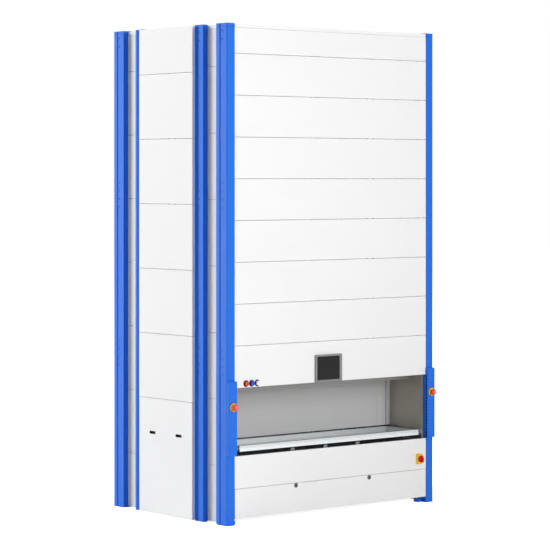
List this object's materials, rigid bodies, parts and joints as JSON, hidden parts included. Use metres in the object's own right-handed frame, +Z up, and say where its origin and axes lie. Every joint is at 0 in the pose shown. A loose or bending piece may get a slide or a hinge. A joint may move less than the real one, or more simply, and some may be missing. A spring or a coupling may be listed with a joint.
{
  "type": "vertical lift module",
  "caption": "Tall blue and white storage cabinet with an access bay, a sheet tray, front and rear racks and a belt lift that fetches trays.",
  "frame": {"origin": "on the floor, under the middle of the machine's bounding box", "axes": "+Z up, +X to the operator's right, +Y from the access bay to the rear"},
  "size_m": [3.458, 2.4, 6],
  "materials": {
    "frame_enamel": "mid grey powder coat, satin",
    "lock_steel": "dark nickel plate",
    "blue_enamel": "blue powder coat, satin",
    "white_enamel": "white powder coat, satin",
    "grey_enamel": "light grey powder coat, satin",
    "bay_steel": "brushed stainless sheet, satin",
    "zinc_steel": "zinc plated sheet and profiles",
    "turned_steel": "turned and ground steel",
    "dark_enamel": "dark grey enamel",
    "black_plastic": "moulded plastic, fine grain",
    "belt_rubber": "moulded rubber",
    "screen_plastic": "smooth dark panel behind glass",
    "red_plastic": "moulded plastic, gloss",
    "blue_plastic": "moulded plastic, gloss",
    "white_plastic": "moulded plastic, gloss",
    "yellow_plastic": "moulded plastic, satin"
  },
  "bodies": {
    "root": {"corner_posts": "blue_enamel", "inner_posts": "blue_enamel", "post_caps": "blue_enamel", "post_feet": "blue_enamel", "levelling_screws": "zinc_steel", "frame_beams": "dark_enamel", "roof_panel": "white_enamel", "upper_front_panels": "white_enamel", "screen_panel": "white_enamel", "lower_front_panel": "white_enamel", "rear_panels": "white_enamel", "side_panels": "white_enamel", "rack_side_panels": "grey_enamel", "screen_frame": "frame_enamel", "touchscreen": "screen_plastic", "button_bezels": "black_plastic", "curtain_covers": "blue_enamel", "light_curtains": "black_plastic", "estop_collars": "yellow_plastic", "main_switch_block": "yellow_plastic", "bay_side_walls": "bay_steel", "bay_ceiling": "grey_enamel", "bay_floor": "dark_enamel", "door_guides": "zinc_steel", "door_drive": "turned_steel", "tray_supports": "zinc_steel", "rack_strips": "zinc_steel", "guide_rails": "turned_steel", "shaft_bearings": "dark_enamel", "lift_belts": "belt_rubber", "lift_gearmotor": "dark_enamel", "control_cabinet": "grey_enamel", "cable_gland": "black_plastic"},
    "lift_carriage": {"carriage_frame": "dark_enamel", "carriage_tray_rails": "zinc_steel", "extractor_chains": "turned_steel", "extractor_motor": "dark_enamel"},
    "front_guide_rollers": {"front_guide_rollers": "belt_rubber"},
    "rear_guide_rollers": {"rear_guide_rollers": "belt_rubber"},
    "drive_sprockets": {"drive_sprockets": "turned_steel"},
    "idler_sprockets": {"idler_sprockets": "turned_steel"},
    "hook_trolleys": {"hook_trolleys": "zinc_steel"},
    "lift_drive_shaft": {"lift_drive_shaft": "turned_steel"},
    "top_pulleys": {"top_pulleys": "turned_steel"},
    "access_tray": {"access_tray": "zinc_steel"},
    "front_stored_tray": {"front_stored_tray": "zinc_steel"},
    "lower_rear_tray": {"lower_rear_tray": "zinc_steel"},
    "upper_rear_tray": {"upper_rear_tray": "zinc_steel"},
    "inner_door": {"inner_door": "grey_enamel"},
    "red_button": {"red_button": "red_plastic"},
    "blue_button": {"blue_button": "blue_plastic"},
    "white_button": {"white_button": "white_plastic"},
    "left_estop_button": {"left_estop_button": "red_plastic"},
    "right_estop_button": {"right_estop_button": "red_plastic"},
    "main_switch_knob": {"main_switch_knob": "red_plastic"},
    "bottom_service_panel": {"bottom_service_panel": "white_enamel"},
    "left_service_lock": {"left_service_lock": "lock_steel"},
    "right_service_lock": {"right_service_lock": "lock_steel"},
    "side_service_panel": {"side_service_panel": "white_enamel", "grip_cups": "black_plastic"}
  },
  "joints": [
    {"name": "lift_travel", "type": "slide", "parent": "root", "child": "lift_carriage", "axis": [0, 0, 1], "range_m": [-0.33, 4.53]},
    {"name": "front_roller_turn", "type": "hinge", "parent": "lift_carriage", "child": "front_guide_rollers", "pos_m": [0, -0.4456, 1.05], "axis": [1, 0, 0], "continuous": true},
    {"name": "rear_roller_turn", "type": "hinge", "parent": "lift_carriage", "child": "rear_guide_rollers", "pos_m": [0, 0.5496, 1.05], "axis": [1, 0, 0], "continuous": true},
    {"name": "lift_shaft_turn", "type": "hinge", "parent": "root", "child": "lift_drive_shaft", "pos_m": [0, 0.052, 0.225], "axis": [1, 0, 0], "continuous": true},
    {"name": "top_pulley_turn", "type": "hinge", "parent": "root", "child": "top_pulleys", "pos_m": [0, 0.052, 5.72], "axis": [1, 0, 0], "continuous": true},
    {"name": "access_tray_slide", "type": "slide", "parent": "root", "child": "access_tray", "axis": [0, 1, 0], "range_m": [0, 0.812]},
    {"name": "trolley_travel", "type": "slide", "parent": "lift_carriage", "child": "hook_trolleys", "axis": [0, 1, 0], "range_m": [0, 0.812]},
    {"name": "drive_sprocket_turn", "type": "hinge", "parent": "lift_carriage", "child": "drive_sprockets", "pos_m": [0, -0.33871, 0.76], "axis": [1, 0, 0], "continuous": true},
    {"name": "idler_sprocket_turn", "type": "hinge", "parent": "lift_carriage", "child": "idler_sprockets", "pos_m": [0, 0.44271, 0.76], "axis": [1, 0, 0], "continuous": true},
    {"name": "front_stored_tray_slide", "type": "slide", "parent": "root", "child": "front_stored_tray", "axis": [0, 1, 0], "range_m": [0, 0.812]},
    {"name": "lower_rear_tray_slide", "type": "slide", "parent": "root", "child": "lower_rear_tray", "axis": [0, -1, 0], "range_m": [0, 0.812]},
    {"name": "upper_rear_tray_slide", "type": "slide", "parent": "root", "child": "upper_rear_tray", "axis": [0, -1, 0], "range_m": [0, 0.812]},
    {"name": "inner_door_slide", "type": "slide", "parent": "root", "child": "inner_door", "axis": [0, 0, 1], "range_m": [0, 0.72]},
    {"name": "red_button_press", "type": "slide", "parent": "root", "child": "red_button", "axis": [0, 1, 0], "range_m": [0, 0.004], "stiffness_N_per_m": 600, "springref_m": -0.002},
    {"name": "blue_button_press", "type": "slide", "parent": "root", "child": "blue_button", "axis": [0, 1, 0], "range_m": [0, 0.004], "stiffness_N_per_m": 600, "springref_m": -0.002},
    {"name": "white_button_press", "type": "slide", "parent": "root", "child": "white_button", "axis": [0, 1, 0], "range_m": [0, 0.004], "stiffness_N_per_m": 600, "springref_m": -0.002},
    {"name": "left_estop_press", "type": "slide", "parent": "root", "child": "left_estop_button", "axis": [0, 1, 0], "range_m": [0, 0.006]},
    {"name": "right_estop_press", "type": "slide", "parent": "root", "child": "right_estop_button", "axis": [0, 1, 0], "range_m": [0, 0.006]},
    {"name": "main_switch_turn", "type": "hinge", "parent": "root", "child": "main_switch_knob", "pos_m": [1.439, -1.096, 0.57], "axis": [0, 1, 0], "range_deg": [0, 90]},
    {"name": "bottom_panel_removal", "type": "slide", "parent": "root", "child": "bottom_service_panel", "axis": [0, -1, 0], "range_m": [0, 0.4]},
    {"name": "left_lock_turn", "type": "hinge", "parent": "bottom_service_panel", "child": "left_service_lock", "pos_m": [-0.609, -1.093, 0.4], "axis": [0, -1, 0], "range_deg": [0, 90]},
    {"name": "right_lock_turn", "type": "hinge", "parent": "bottom_service_panel", "child": "right_service_lock", "pos_m": [0.591, -1.093, 0.4], "axis": [0, -1, 0], "range_deg": [0, 90]},
    {"name": "side_panel_removal", "type": "slide", "parent": "root", "child": "side_service_panel", "axis": [-1, 0, 0], "range_m": [0, 0.4]}
  ],
  "couplings": [
    {"joint": "front_roller_turn", "follows": "lift_travel", "rad_per_m": 41.667},
    {"joint": "rear_roller_turn", "follows": "lift_travel", "rad_per_m": -41.667},
    {"joint": "lift_shaft_turn", "follows": "lift_travel", "rad_per_m": -16.667},
    {"joint": "top_pulley_turn", "follows": "lift_travel", "rad_per_m": -16.667},
    {"joint": "trolley_travel", "follows": "access_tray_slide", "ratio": 1},
    {"joint": "drive_sprocket_turn", "follows": "access_tray_slide", "rad_per_m": -22.222},
    {"joint": "idler_sprocket_turn", "follows": "access_tray_slide", "rad_per_m": -22.222}
  ]
}
